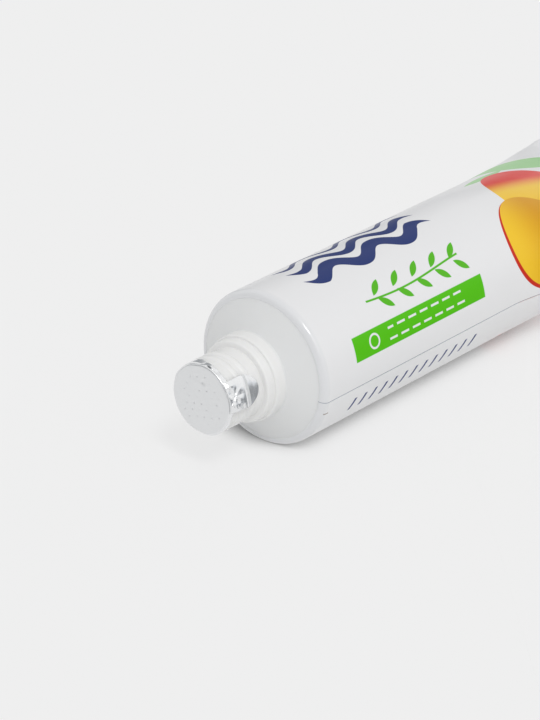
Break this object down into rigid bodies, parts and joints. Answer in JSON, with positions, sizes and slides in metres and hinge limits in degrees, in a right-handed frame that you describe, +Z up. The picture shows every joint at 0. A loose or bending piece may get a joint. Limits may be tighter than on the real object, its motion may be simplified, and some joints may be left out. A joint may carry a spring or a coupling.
{
  "type": "toothpaste tube",
  "caption": "Filled laminate toothpaste tube lying on its side, with moulded shoulder and neck, sealed mouth with a foil tab, and a flat crimped tail.",
  "frame": {"origin": "middle of the tube's outline on the surface it lies on, z = 0", "axes": "+X along the tube towards the crimped tail, -X out of the nozzle, +Z up, -Y towards the side with the pull tab and the side seam"},
  "size_m": [0.1492, 0.05, 0.0318],
  "materials": {
    "white_laminate": "gloss",
    "white_moulding": "satin",
    "foil": "bright, crinkled"
  },
  "bodies": {
    "root": {"filled_sleeve": "white_laminate", "shoulder_and_neck": "white_moulding", "foil_seal": "foil"}
  },
  "joints": []
}
